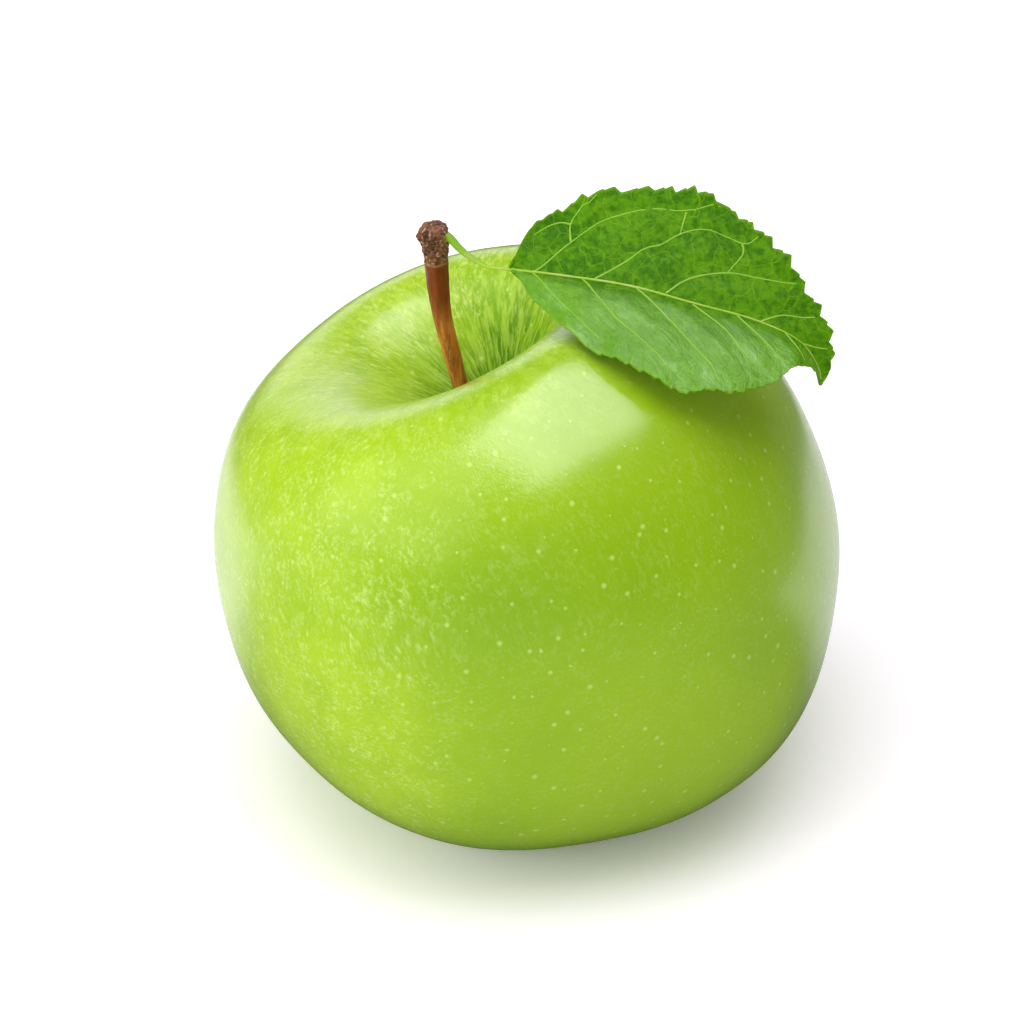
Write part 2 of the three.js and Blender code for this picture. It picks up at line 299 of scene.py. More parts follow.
def read_spots(piece):
    spots = np.empty(len(piece.data.vertices) * 3)
    piece.data.vertices.foreach_get("co", spots)
    return spots.reshape(-1, 3)


def write_spots(piece, spots):
    """Moves the points of a mesh to places given in millimetres."""
    piece.data.vertices.foreach_set("co", (np.asarray(spots) * MM).ravel())
    piece.data.update()


def add_grid(name, columns, rows):
    """Adds a flat grid to be shaped; its points run from -1 to 1 both ways."""
    clear_selection()
    bpy.ops.mesh.primitive_grid_add(x_subdivisions=columns, y_subdivisions=rows, size=2)
    grid = take(name)
    return grid, read_spots(grid)


def close_up(piece):
    """Joins doubled points, turns the faces outwards and shades them smooth."""
    work_on(piece)
    bpy.ops.object.mode_set(mode="EDIT")
    bpy.ops.mesh.select_all(action="SELECT")
    bpy.ops.mesh.remove_doubles(threshold=MERGE_DISTANCE)
    bpy.ops.mesh.normals_make_consistent(inside=False)
    bpy.ops.object.mode_set(mode="OBJECT")
    bpy.ops.object.shade_smooth()


def thicken(sheet, thickness, underside=0):
    """Gives a sheet its wall, half to each side; the underside may take the next material."""
    work_on(sheet)
    wall = sheet.modifiers.new("wall", "SOLIDIFY")
    wall.thickness = thickness * MM
    wall.offset = 0
    wall.material_offset = underside
    bpy.ops.object.modifier_apply(modifier=wall.name)
    bpy.ops.object.shade_smooth()


def paint(piece, name, values):
    """Keeps one number at each point of the mesh, for a material to read."""
    layer = piece.data.attributes.new(name, "FLOAT", "POINT")
    layer.data.foreach_set("value", np.asarray(values, dtype=np.float32))


def paint_vector(piece, name, values):
    layer = piece.data.attributes.new(name, "FLOAT_VECTOR", "POINT")
    layer.data.foreach_set("vector", np.asarray(values, dtype=np.float32).ravel())


def unit(vectors):
    return vectors / np.maximum(np.linalg.norm(vectors, axis=-1, keepdims=True), 1e-12)


def smoothstep(values, low, high):
    share = np.clip((values - low) / (high - low), 0, 1)
    return share * share * (3 - 2 * share)


NOISE_SHIFT = (7.3, 3.1, 5.7)
NOISE_REACH = 1.6


def ripple(spots, spacing, seed=0):
    """Smooth random heights, -1 to 1, that change over about one spacing."""
    shift = Vector([seed * step for step in NOISE_SHIFT])
    return np.array([noise.noise(Vector(spot) / spacing + shift) for spot in spots]) * NOISE_REACH


def layered_ripple(spots, layers):
    """The sum of some layers of ripple, each as (spacing, seed, height)."""
    return sum(ripple(spots, spacing, seed) * height for spacing, seed, height in layers)


# ---- Smooth lines through a few points -----------------------

STRETCH_STEPS = 60
LOOK_AHEAD = 0.004


class Line:
    """A smooth line through points, walked by shares of its length.

    Each stretch is a cubic whose slopes at both ends come from the points next to it."""

    def __init__(self, points):
        points = np.asarray(points, float)
        ends = np.vstack([2 * points[0] - points[1], points, 2 * points[-1] - points[-2]])
        walk = np.linspace(0, 1, STRETCH_STEPS, endpoint=False)[:, None]
        bits = []
        for a, b, c, d in zip(ends, ends[1:], ends[2:], ends[3:]):
            gap_ab, gap_bc, gap_cd = (
                max(np.linalg.norm(q - p), 1e-6) ** 0.5 for p, q in ((a, b), (b, c), (c, d))
            )
            leave = (b - a) / gap_ab - (c - a) / (gap_ab + gap_bc) + (c - b) / gap_bc
            reach = (c - b) / gap_bc - (d - b) / (gap_bc + gap_cd) + (d - c) / gap_cd
            cube, square = walk ** 3, walk ** 2
            bits.append(
                (2 * cube - 3 * square + 1) * b + (cube - 2 * square + walk) * leave * gap_bc
                + (3 * square - 2 * cube) * c + (cube - square) * reach * gap_bc
            )
        self.spots = np.vstack(bits + [points[-1:]])
        steps = np.linalg.norm(np.diff(self.spots, axis=0), axis=1)
        self.walked = np.concatenate([[0], np.cumsum(steps)])
        self.length = self.walked[-1]

    def at(self, share):
        gone = np.clip(np.asarray(share, float), 0, 1) * self.length
        axes = [np.interp(gone, self.walked, self.spots[:, axis]) for axis in range(3)]
        return np.stack(axes, axis=-1)

    def ahead(self, share):
        share = np.asarray(share, float)
        return unit(self.at(share + LOOK_AHEAD) - self.at(share - LOOK_AHEAD))


def roll_rod(name, line, start, end, radius_at, sides, steps):
    """Rolls a flat grid into a rod along a line; radius_at(climb, around) gives its radius."""
    rod, flat = add_grid(name, sides, steps)
    around = (flat[:, 0] + 1) * math.pi
    climb = (flat[:, 1] + 1) / 2
    share = start + (end - start) * climb
    ahead = line.ahead(share)
    side = unit(np.cross(BACKWARD, ahead))
    across = np.cross(ahead, side)
    radius = radius_at(climb, around)[:, None]
    out = np.cos(around)[:, None] * across + np.sin(around)[:, None] * side
    write_spots(rod, line.at(share) + radius * out)
    paint(rod, "climb", climb)
    close_up(rod)
    return rod


def round_ends(climb, share):
    """1 along the middle, falling to 0 at both ends as a round cap does."""
    low = np.clip(climb / share, 0, 1)
    high = np.clip((1 - climb) / share, 0, 1)
    return np.sqrt(1 - (1 - low) ** 2) * np.sqrt(1 - (1 - high) ** 2)


# ---- Materials: small tools ----------------------------------

def tone(red, green, blue):
    """A colour given as a screen shows it, 0 to 255, as Blender's linear colour."""
    channels = [value / 255 for value in (red, green, blue)]
    return tuple(c / 12.92 if c <= 0.04045 else ((c + 0.055) / 1.055) ** 2.4 for c in channels) + (1,)


def plug(tree, node, inputs):
    """Fills the inputs of a node: a socket is linked, any other value is set."""
    for name, value in inputs.items():
        if isinstance(value, bpy.types.NodeSocket):
            tree.links.new(value, node.inputs[name])
        else:
            node.inputs[name].default_value = value


def put(tree, kind, inputs=None, out=0, **settings):
    """Adds a node with its inputs and settings; gives back one of its outputs."""
    node = tree.nodes.new(kind)
    for setting, value in settings.items():
        setattr(node, setting, value)
    plug(tree, node, inputs or {})
    return node.outputs[out]


def calc(tree, operation, first, second):
    return put(tree, "ShaderNodeMath", {0: first, 1: second}, operation=operation)


def times(tree, first, second):
    return calc(tree, "MULTIPLY", first, second)


def vector_calc(tree, operation, first, second=(0, 0, 0), out=0):
    return put(tree, "ShaderNodeVectorMath", {0: first, 1: second}, out=out, operation=operation)


def spread(tree, value, low, high, to_low=0.0, to_high=1.0):
    """Eases a value from one range to another, and holds it at both ends."""
    inputs = {"Value": value, "From Min": low, "From Max": high, "To Min": to_low, "To Max": to_high}
    return put(tree, "ShaderNodeMapRange", inputs, interpolation_type="SMOOTHSTEP")


def mix(tree, share, first, second):
    return put(tree, "ShaderNodeMix", {0: share, 6: first, 7: second}, out=2, data_type="RGBA")


def tint(tree, colour, mask, strength, coat):
    """Lays a coat of another tone over a colour, where a mask is, at a strength."""
    return mix(tree, times(tree, mask, strength), colour, coat)


def clouds(tree, vector, scale, detail=2.0, roughness=0.5, distortion=0.0):
    inputs = {
        "Vector": vector, "Scale": scale, "Detail": detail,
        "Roughness": roughness, "Distortion": distortion,
    }
    return put(tree, "ShaderNodeTexNoise", inputs)


def kept(tree, name, out="Fac"):
    return put(tree, "ShaderNodeAttribute", out=out, attribute_name=name)


def new_material(name):
    """A material with its node tree, its shader, and its object coordinates in millimetres."""
    material = bpy.data.materials.new(name)
    material.use_nodes = True
    tree = material.node_tree
    place = put(tree, "ShaderNodeTexCoord", out="Object")
    place = vector_calc(tree, "MULTIPLY", place, (1000, 1000, 1000))
    return material, tree, tree.nodes["Principled BSDF"], place


def new_group(name, inputs, outputs):
    """A shader node group with named inputs and outputs; kinds are Float, Vector or Color."""
    group = bpy.data.node_groups.new(name, "ShaderNodeTree")
    for socket, (kind, value) in inputs.items():
        made = group.interface.new_socket(socket, in_out="INPUT", socket_type=f"NodeSocket{kind}")
        if value is not None:
            made.default_value = value
    for socket, kind in outputs.items():
        group.interface.new_socket(socket, in_out="OUTPUT", socket_type=f"NodeSocket{kind}")
    return group, group.nodes.new("NodeGroupInput").outputs, group.nodes.new("NodeGroupOutput").inputs


def bump(tree, height, strength, distance, normal=None):
    """Raises a height over a normal; its distance is in millimetres."""
    inputs = {"Height": height, "Strength": strength, "Distance": distance * MM}
    if normal is not None:
        inputs["Normal"] = normal
    return put(tree, "ShaderNodeBump", inputs)


def give(piece, *materials):
    piece.data.materials.clear()
    for material in materials:
        piece.data.materials.append(material)
    return piece


# ---- Shared effects ------------------------------------------

def make_dots_group():
    """Round dots scattered over a surface, one to a cell, each of its own size."""
    group, given, result = new_group(
        "scattered_dots",
        {
            "Vector": ("Vector", None), "Normal": ("Vector", None), "Spacing": ("Float", 4.0),
            "Radius": ("Float", 0.3), "Share": ("Float", 0.6),
        },
        {"Dots": "Float"},
    )
    scale = calc(group, "DIVIDE", 1.0, given["Spacing"])
    cells = put(group, "ShaderNodeTexVoronoi", {"Vector": given["Vector"], "Scale": scale}).node.outputs
    # The distance from the middle of the cell is measured along the surface, so that dots are round.
    away = vector_calc(group, "SUBTRACT", given["Vector"], cells["Position"])
    along = vector_calc(group, "DOT_PRODUCT", away, given["Normal"], out="Value")
    lift = put(group, "ShaderNodeVectorMath", {0: given["Normal"], "Scale": along}, operation="SCALE")
    flat = vector_calc(group, "SUBTRACT", away, lift)
    distance = vector_calc(group, "LENGTH", flat, out="Value")
    chances = put(group, "ShaderNodeSeparateColor", {0: cells["Color"]}).node.outputs
    shown = calc(group, "LESS_THAN", chances[0], given["Share"])
    radius = times(group, given["Radius"], spread(group, chances[1], 0, 1, 0.45, 1.15))
    dot = spread(group, distance, times(group, radius, 1.5), times(group, radius, 0.4))
    group.links.new(times(group, dot, shown), result["Dots"])
    return group


def make_streaks_group():
    """Fine streaks: two layers of clouds, drawn out along one direction of the coordinates."""
    group, given, result = new_group(
        "fine_streaks",
        {
            "Vector": ("Vector", None), "Scale": ("Float", 25.0), "Low": ("Float", 0.45),
            "High": ("Float", 0.7),
        },
        {"Streaks": "Float"},
    )
    coarse = clouds(group, given["Vector"], given["Scale"], 3.0, 0.62, 0.25)
    fine = clouds(group, given["Vector"], times(group, given["Scale"], 2.3), 2.0, 0.6)
    both = calc(group, "ADD", times(group, coarse, 0.62), times(group, fine, 0.38))
    group.links.new(spread(group, both, given["Low"], given["High"]), result["Streaks"])
    return group


DOTS = make_dots_group()
STREAKS = make_streaks_group()


def dots_on(tree, place, normal, spacing, radius, share):
    inputs = {"Vector": place, "Normal": normal, "Spacing": spacing, "Radius": radius, "Share": share}
    return put(tree, "ShaderNodeGroup", inputs, node_tree=DOTS)


def streaks_on(tree, vector, scale, low, high):
    inputs = {"Vector": vector, "Scale": scale, "Low": low, "High": high}
    return put(tree, "ShaderNodeGroup", inputs, node_tree=STREAKS)


# ---- Fruit ---------------------------------------------------

def dip(hollow, distance):
    depth, width, power = hollow
    return depth * np.exp(-((np.maximum(distance, 1e-6) / width) ** power))


def swelling(turn, size_and_bearing, waves):
    share, bearing = size_and_bearing
    return share * np.cos(waves * (turn - bearing * DEGREE))


def grow_fruit(turn, height_share):
    """Points of the grown fruit before it is set down, with three measures of each point: its
    distance from the stem hollow, its bearing round it, and its rise from -1 (base) to 1 (crown)."""
    climb = QUARTER_TURN * np.sin(QUARTER_TURN * height_share)
    rise = np.sin(climb)
    girth = np.maximum(np.cos(climb), 0)
    low = (1 - rise) / 2

    # The bowl of the body, and its swellings.
    roundness = BASE_ROUNDNESS + (CROWN_ROUNDNESS - BASE_ROUNDNESS) * np.clip(rise * 2 + 0.5, 0, 1)
    radius = GIRTH_RADIUS * girth ** roundness * (1 - BASE_FULLNESS * rise * girth)
    radius = radius * (
        1 + swelling(turn, FULL_CHEEK, 1) + 2 * low * swelling(turn, FULL_BASE, 1)
        + swelling(turn, OVAL, 2)
        + (CROWN_LOBES + (1 - CROWN_LOBES) * low) * swelling(turn, LOBES, LOBE_COUNT)
    )
    x, y = radius * np.cos(turn), radius * np.sin(turn)
    z = rise * np.where(rise > 0, CROWN_HEIGHT, BASE_HEIGHT)

    # The stem hollow, the calyx basin and the high shoulder.
    from_hollow = np.hypot(x - HOLLOW_CENTRE[0], y - HOLLOW_CENTRE[1])
    hollow = dip(BOWL, from_hollow) + dip(FUNNEL, from_hollow)
    basin = np.clip(-HOLLOW_ONSET * rise, 0, 1) * dip(BASIN, radius)
    z = z + basin - np.clip(HOLLOW_ONSET * rise, 0, 1) * hollow
    shoulder = radius / HIGH_SHOULDER_RADIUS * np.exp(-((radius / HIGH_SHOULDER_REACH) ** 2))
    facing = np.cos(turn - HIGH_SHOULDER_BEARING * DEGREE)
    z = z + HIGH_SHOULDER_RISE * np.maximum(rise, 0) ** 2 * shoulder * facing

    # The fruit leans to the left and nods to the front, more with every step up from its base.
    height = z + BASE_HEIGHT
    share = np.clip(height / (BASE_HEIGHT + CROWN_HEIGHT), 0, 1)
    lean, nod = LEAN * DEGREE * share, NOD * DEGREE * share
    bent_x = x * np.cos(lean) - height * np.sin(lean)
    bent_z = x * np.sin(lean) + height * np.cos(lean)
    bent = [bent_x, y * np.cos(nod) - bent_z * np.sin(nod), y * np.sin(nod) + bent_z * np.cos(nod)]

    # The bearing is taken round the hollow on the crown, and round the middle lower down.
    on_crown = smoothstep(rise, 0.1, 0.75)
    bearing = np.arctan2(y - HOLLOW_CENTRE[1] * on_crown, x - HOLLOW_CENTRE[0] * on_crown)
    return np.stack(bent, axis=-1), from_hollow, bearing, rise


def set_down(spots):
    """The move that rests the grown fruit on the floor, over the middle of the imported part."""
    low, high = spots.min(axis=0), spots.max(axis=0)
    cad_low, cad_high = (np.array(corner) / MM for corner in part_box("fruit"))
    move = (cad_low + cad_high) / 2 - (low + high) / 2
    move[2] = -low[2] - REST_CUT
    return move


def build_fruit():
    clear_selection()
    bpy.ops.mesh.primitive_uv_sphere_add(segments=SKIN_SIDES, ring_count=SKIN_ROWS, radius=1)
    skin = take("apple_skin")
    ball = read_spots(skin)
    turn = np.arctan2(ball[:, 1], ball[:, 0])
    height_share = np.arcsin(np.clip(ball[:, 2], -1, 1)) / QUARTER_TURN
    spots, from_hollow, bearing, rise = grow_fruit(turn, height_share)
    spots = spots + set_down(spots)
    # A soft wave all over, but not at the resting flat or in the stem hollow.
    wave = ripple(spots, SKIN_WAVE_SPACING) * SKIN_WAVE * smoothstep(spots[:, 2], 1.5, 9)
    out = unit(spots - spots.mean(axis=0))
    spots = spots + out * wave[:, None] * smoothstep(from_hollow, 3, 14)[:, None]
    spots[:, 2] = np.maximum(spots[:, 2], 0)
    write_spots(skin, spots)
    paint_streak_way(skin, from_hollow, bearing, rise)
    paint_places(skin, spots, from_hollow, bearing, rise)
    close_up(skin)
    return skin


def paint_streak_way(skin, from_hollow, bearing, rise):
    """Coordinates for the streaks: round the stem hollow, and slowly away from it."""
    upper = smoothstep(rise, 0.1, 0.5)
    start, length = BODY_WALK
    walk = from_hollow * upper + (start + (BODY_RISE - rise) * length) * (1 - upper)
    grain = np.stack([np.cos(bearing), np.sin(bearing), walk / STREAK_LENGTH], axis=-1)
    paint_vector(skin, "grain", grain)


def paint_places(skin, spots, from_hollow, bearing, rise):
    """Masks for the places where the skin changes its green or its finish, and where light or shade is
    painted into its colour.
    """
    on_top = smoothstep(rise, 0, 0.4)
    paint(skin, "hollow", np.exp(-(from_hollow / DEEP_REACH) ** 4) * on_top)
    paint(skin, "crown", smoothstep(-from_hollow, *CROWN_STRETCH) * on_top)
    paint(skin, "stem_ring", np.exp(-(from_hollow / STEM_RING_REACH) ** 2) * on_top)
    left = smoothstep(-spots[:, 0], *ROUGH_STRETCH)
    paint(skin, "rough_side", SMOOTHEST + (1 - SMOOTHEST) * left)
    # Partly painted light: the left side, and more so high up, is paler as if lit more.
    pale_lit_crown = 0.4 * smoothstep(spots[:, 2], *PALE_CROWN_STRETCH) * left
    paint(skin, "pale_lit_cheek", np.maximum(smoothstep(-spots[:, 0], *PALE_STRETCH), pale_lit_crown))
    # Painted shade: the right side of the stem hollow and its inner wall.
    shaded_side = smoothstep(np.cos(bearing - SHADED_BEARING * DEGREE), -0.75, 0.1)
    paint(skin, "shaded_side", np.maximum(shaded_side, np.exp(-(from_hollow / SHADED_WALL_REACH) ** 4)))
    from_patch = (spots - np.array(GREEN_PATCH)) / np.array(GREEN_PATCH_SIZE)
    paint(skin, "green_patch", np.exp(-(np.linalg.norm(from_patch, axis=1) ** 2)))


BODY_GREEN = tone(146, 187, 0)
BODY_FRESH = tone(157, 196, 2)
# Partly painted light: the paler green of the lit left cheek.
PALE_LIT_GREEN = tone(174, 210, 20)
PATCH_GREEN = tone(124, 170, 0)
BODY_STREAK = tone(220, 239, 142)
# Painted shade: the deep green laid on the shaded part of the stem hollow.
HOLLOW_SHADE_GREEN = tone(72, 130, 0)
CROWN_FRESH = tone(140, 188, 0)
CROWN_BAND = tone(192, 224, 76)
CROWN_FLECK = tone(218, 238, 136)
DOT_PALE = tone(216, 236, 124)
RUSSET = tone(120, 104, 40)

WAX_ROUGHNESS = 0.2
WAX_GLOSS = 1.82


def body_colour(tree, place, body_lines):
    """Soft clouds of green, the pale left cheek, partly its own tone and partly painted light, the green
    patch and the fine pale streaks.
    """
    pale_lit_cheek = kept(tree, "pale_lit_cheek")
    broad = clouds(tree, place, 0.035, 2.0, 0.5)
    colour = mix(tree, spread(tree, broad, 0.35, 0.65), BODY_GREEN, BODY_FRESH)
    patches = spread(tree, clouds(tree, place, 0.15, 3.0, 0.6), 0.36, 0.64, 0.5, 1.0)
    # Partly painted light: the left cheek is lightened, and its pale streaks grow stronger there.
    colour = tint(tree, colour, pale_lit_cheek, patches, PALE_LIT_GREEN)
    colour = tint(tree, colour, kept(tree, "green_patch"), 0.66, PATCH_GREEN)
    small_patches = spread(tree, clouds(tree, place, 0.5, 2.0, 0.6), 0.36, 0.62, 0.25, 1.0)
    streaks = times(tree, body_lines, small_patches)
    return tint(tree, colour, streaks, spread(tree, pale_lit_cheek, 0.0, 1.0, 0.15, 0.56), BODY_STREAK)


def crown_colour(tree, place, grain, crown_lines, colour):
    """Painted shade in a deep green on the right side and inner wall of the stem hollow, with fresh
    patches, pale bands and flecks round it.
    """
    crown = kept(tree, "crown")
    shaded = times(tree, kept(tree, "hollow"), kept(tree, "shaded_side"))
    colour = mix(tree, shaded, colour, HOLLOW_SHADE_GREEN)
    fresh_patches = spread(tree, clouds(tree, place, 0.22, 3.0, 0.6), 0.44, 0.58, 0.0, 0.5)
    colour = tint(tree, colour, crown, fresh_patches, CROWN_FRESH)
    bands = streaks_on(tree, grain, 12.0, 0.44, 0.58)
    colour = tint(tree, colour, bands, times(tree, crown, 0.55), CROWN_BAND)
    fleck_patches = spread(tree, clouds(tree, place, 0.28, 3.0, 0.6), 0.38, 0.6, 0.25, 1.0)
    flecks = times(tree, crown_lines, times(tree, crown, fleck_patches))
    return tint(tree, colour, flecks, spread(tree, shaded, 0.0, 0.9, 0.72, 0.26), CROWN_FLECK)


def skin_material():
    material, tree, shader, place = new_material("waxy_green_skin")
    grain = kept(tree, "grain", "Vector")
    body_lines = streaks_on(tree, grain, 64.0, 0.44, 0.66)
    crown_lines = streaks_on(tree, grain, 30.0, 0.47, 0.62)
    colour = body_colour(tree, place, body_lines)
    colour = crown_colour(tree, place, grain, crown_lines, colour)

    normal = put(tree, "ShaderNodeTexCoord", out="Normal")
    many = dots_on(tree, place, normal, 1.9, 0.12, 0.5)
    few = dots_on(tree, place, normal, 4.2, 0.26, 0.8)
    dots = calc(tree, "MAXIMUM", times(tree, many, 0.45), few)
    colour = tint(tree, colour, dots, 0.54, DOT_PALE)
    ring = times(tree, kept(tree, "stem_ring"), spread(tree, crown_lines, 0.1, 0.9, 0.5, 1.0))
    colour = tint(tree, colour, ring, 0.7, RUSSET)

    rough_side = kept(tree, "rough_side")
    peel = clouds(tree, place, 1.5, 3.0, 0.62, 0.5)
    relief = bump(tree, times(tree, peel, rough_side), 0.16, 0.2)
    relief = bump(tree, times(tree, body_lines, rough_side), 0.2, 0.05, relief)
    relief = bump(tree, dots, 0.3, 0.05, relief)
    plug(tree, shader, {
        "Base Color": colour,
        "Roughness": spread(tree, clouds(tree, place, 0.6, 3.0, 0.6), 0.3, 0.7, 0.42, 0.52),
        "Specular IOR Level": 0.05,
        "Normal": relief,
        "Coat Weight": spread(tree, kept(tree, "hollow"), 0.0, 0.9, 1.0, 0.05),
        "Coat Roughness": WAX_ROUGHNESS,
        "Coat IOR": WAX_GLOSS,
        "Coat Normal": relief,
    })
    return material


# ---- Stem and spur knob --------------------------------------

def stem_radius(climb):
    foot = STEM_FOOT_RADIUS * (1 - climb) ** 6
    waist = STEM_WAIST_RADIUS * (1 - (1 - climb) ** 6)
    return foot + waist + (STEM_HEAD_RADIUS - STEM_WAIST_RADIUS) * climb ** 2.2


def nearest_on(line, spots):
    """The point of a line at each point's own height, for a line that climbs all the way."""
    heights = line.spots[:, 2]
    axes = [np.interp(spots[:, 2], heights, line.spots[:, axis]) for axis in range(3)]
    return np.stack(axes, axis=-1)


def build_stem():
    line = Line(STEM_POINTS)

    def radius_at(climb, around):
        ridges = sum(
            height * np.cos(count * around + twist * climb) for height, count, twist in STEM_RIDGES
        )
        return (stem_radius(climb) + ridges) * round_ends(climb, 0.015)

    head = STEM_SHARE + STEM_OVERLAP[0]
    stem = roll_rod("woody_stem", line, STEM_FOOT, head, radius_at, sides=72, steps=320)
    spots = read_spots(stem) / MM
    drawn_out = spots * np.array([1, 1, 0.35])
    rough = layered_ripple(drawn_out, STEM_ROUGHNESS)
    write_spots(stem, spots + unit(spots - nearest_on(line, spots)) * rough[:, None])
    return stem


def build_knob():
    line = Line(STEM_POINTS)

    def radius_at(climb, around):
        swell = smoothstep(climb, 0.05, 0.75)
        radius = KNOB_NECK_RADIUS + (KNOB_HEAD_RADIUS - KNOB_NECK_RADIUS) * swell
        rings = sum(
            height * np.exp(-((climb - share) / width) ** 2) for height, share, width in KNOB_RINGS
        )
        cap = np.sqrt(np.maximum(1 - (np.maximum(climb - 0.84, 0) / 0.16) ** 2.6, 0))
        foot = np.sqrt(np.clip(climb / 0.03, 0, 1))
        return (radius + rings) * cap * foot

    neck = STEM_SHARE - STEM_OVERLAP[1]
    knob = roll_rod("rough_knob", line, neck, KNOB_TIP, radius_at, sides=150, steps=150)
    spots = read_spots(knob) / MM
    out = unit(spots - nearest_on(line, spots))
    lumps = layered_ripple(spots, KNOB_LUMPS)
    spacing, seed, height = KNOB_GRAINS
    grains = np.abs(ripple(spots, spacing, seed)) * height
    bark = 0.18 + 0.82 * smoothstep(spots[:, 2], *KNOB_ROUGH_HEIGHTS)
    from_nub = np.linalg.norm(spots - np.array(NUB_SPOT), axis=1)
    nub = NUB_HEIGHT * np.exp(-((from_nub / NUB_REACH) ** 2))
    write_spots(knob, spots + out * ((lumps - 0.03 + grains) * bark + nub)[:, None])
    return knob


def wood_grain(tree, place, dark, middle, light, scale):
    """Wood drawn out along the stem: its colour, and the mask of its fibres."""
    drawn_out = put(tree, "ShaderNodeMapping", {"Vector": place, "Scale": (1, 1, 0.1)})
    fibres = streaks_on(tree, drawn_out, scale, 0.4, 0.66)
    blotches = spread(tree, clouds(tree, drawn_out, 1.1, 3.0, 0.6), 0.38, 0.62)
    return tint(tree, mix(tree, blotches, dark, middle), fibres, 0.46, light), fibres


def stem_material():
    """Red-brown wood: darker under the knob, greenish and speckled at the foot."""
    material, tree, shader, place = new_material("stem_bark")
    red_browns = tone(140, 62, 10), tone(206, 108, 34), tone(236, 172, 104)
    colour, fibres = wood_grain(tree, place, *red_browns, 2.4)
    climb = kept(tree, "climb")
    top = spread(tree, climb, 0.58, 0.84)
    foot = spread(tree, climb, 0.4, 0.2)
    specks = times(tree, spread(tree, clouds(tree, place, 2.6, 2.0, 0.6), 0.52, 0.62), foot)
    colour = tint(tree, colour, top, 0.88, tone(110, 24, 2))
    colour = tint(tree, colour, foot, 0.6, tone(150, 112, 24))
    colour = tint(tree, colour, specks, 0.5, tone(206, 160, 96))
    relief = bump(tree, specks, 0.4, 0.06, bump(tree, fibres, 0.25, 0.05))
    plug(tree, shader, {"Base Color": colour, "Roughness": 0.42, "Normal": relief})
    return material


def knob_material():
    """Dark bark with pale grains and deep pits, and a greenish ring at the neck."""
    material, tree, shader, place = new_material("knob_bark")
    bark_browns = tone(74, 32, 12), tone(116, 62, 30), tone(170, 118, 78)
    colour, _ = wood_grain(tree, place, *bark_browns, 1.8)
    grains = spread(tree, clouds(tree, place, 2.4, 3.0, 0.65), 0.5, 0.66)
    pits = spread(tree, clouds(tree, place, 1.7, 2.0, 0.5), 0.46, 0.34)
    climb = kept(tree, "climb")
    ring = times(tree, spread(tree, climb, 0.0, 0.03), spread(tree, climb, 0.12, 0.08))
    colour = tint(tree, colour, grains, 0.8, tone(206, 168, 132))
    colour = tint(tree, colour, pits, 0.75, tone(40, 14, 5))
    colour = tint(tree, colour, ring, 0.6, tone(150, 108, 46))
    relief = bump(tree, grains, 0.6, 0.12)
    plug(tree, shader, {"Base Color": colour, "Roughness": 0.72, "Normal": relief})
    return material


# ---- Leaf ----------------------------------------------------

MIDRIB = Line(BLADE_MIDRIB)
BACK_EDGE = Line(BLADE_BACK_EDGE)
FRONT_EDGE = Line(BLADE_FRONT_EDGE)


def toothed(along, teeth, seed):
    """Outward step of a toothed edge; every tooth leans to the tip and has its own size."""
    count, depth = teeth
    chance = np.random.RandomState(seed)
    widths = chance.uniform(0.7, 1.3, count)
    ends = np.concatenate([[0], np.cumsum(widths) / widths.sum()])
    which = np.clip(np.searchsorted(ends, along, side="right") - 1, 0, count - 1)
    part = (along - ends[which]) / (ends[which + 1] - ends[which])
    size = chance.uniform(0.55, 1.15, count)[which]
    notch = chance.uniform(0.35, 0.6, count)[which]
    # A long bowed climb, a short fall, and a small second notch on the way up.
    way_up = np.clip(part / 0.8, 0, 1)
    climb = 0.45 * way_up + 0.55 * np.sin(math.pi / 2 * way_up)
    fall = np.clip((1 - part) / 0.2, 0, 1)
    second = np.clip((part - notch) / 0.05, 0, 1) - np.clip((part - notch - 0.05) / 0.3, 0, 1)
    return size * (climb * fall - 0.3 * second) * depth


def blade_rest(along, across):
    """Points of the blade's middle surface before it is quilted; across is 1 on the back edge."""
    out = np.abs(across)
    on_back = across > 0
    edge = np.where(on_back[:, None], BACK_EDGE.at(along), FRONT_EDGE.at(along))
    middle = MIDRIB.at(along)
    # The teeth start some way along the blade, and fade out at its tip.
    back_step = toothed(along, BACK_TEETH, 3) * smoothstep(along, 0.03, 0.2)
    front_step = toothed(along, FRONT_TEETH, 8) * smoothstep(along, 0.12, 0.45)
    step = np.where(on_back, back_step - BACK_TEETH[1] / 4, front_step - FRONT_TEETH[1] / 4)
    rim = smoothstep(out, 0.82, 1) * smoothstep(1 - along, 0, 0.05)
    spots = middle + (edge - middle) * out[:, None]
    spots = spots + unit(edge - middle) * (rim * step)[:, None]
    # Each half bulges between midrib and edge, and its margin waves; both die out at the ends.
    ends = np.minimum(np.minimum(along * 9, (1 - along) * 7), 1)
    bulge = np.where(on_back, BACK_BULGE, FRONT_BULGE)
    spots[:, 2] += bulge * ends * out * (1 - out) * 4
    long_wave, short_wave = MARGIN_WAVES
    wave = np.sin(along * long_wave + np.where(on_back, 0, 2)) + 0.6 * np.sin(along * short_wave + 1)
    spots[:, 2] += MARGIN_WAVE * wave * ends * out ** 3
    return spots


def blade_facing(along, across):
    """Directions square to the blade, upwards."""
    nearer = blade_rest(along, np.clip(across - LOOK_AHEAD, -1, 1))
    farther = blade_rest(along, np.clip(across + LOOK_AHEAD, -1, 1))
    return unit(np.cross(MIDRIB.ahead(along), farther - nearer))


def walk_vein(vein, steps):
    """Shares along and across at even steps of a vein."""
    vein = np.array(vein, float)
    line = Line(np.column_stack([vein, np.zeros(len(vein))]))
    return line.at(np.linspace(0, 1, steps))[:, :2]


VEIN_WALKS = [walk_vein(vein, 26) for vein in BACK_VEINS + FRONT_VEINS]
RIB_WALK = np.column_stack([np.linspace(0, 1, 160), np.zeros(160)])
VEIN_SPOTS = np.vstack([blade_rest(*walk.T) for walk in VEIN_WALKS + [RIB_WALK]])


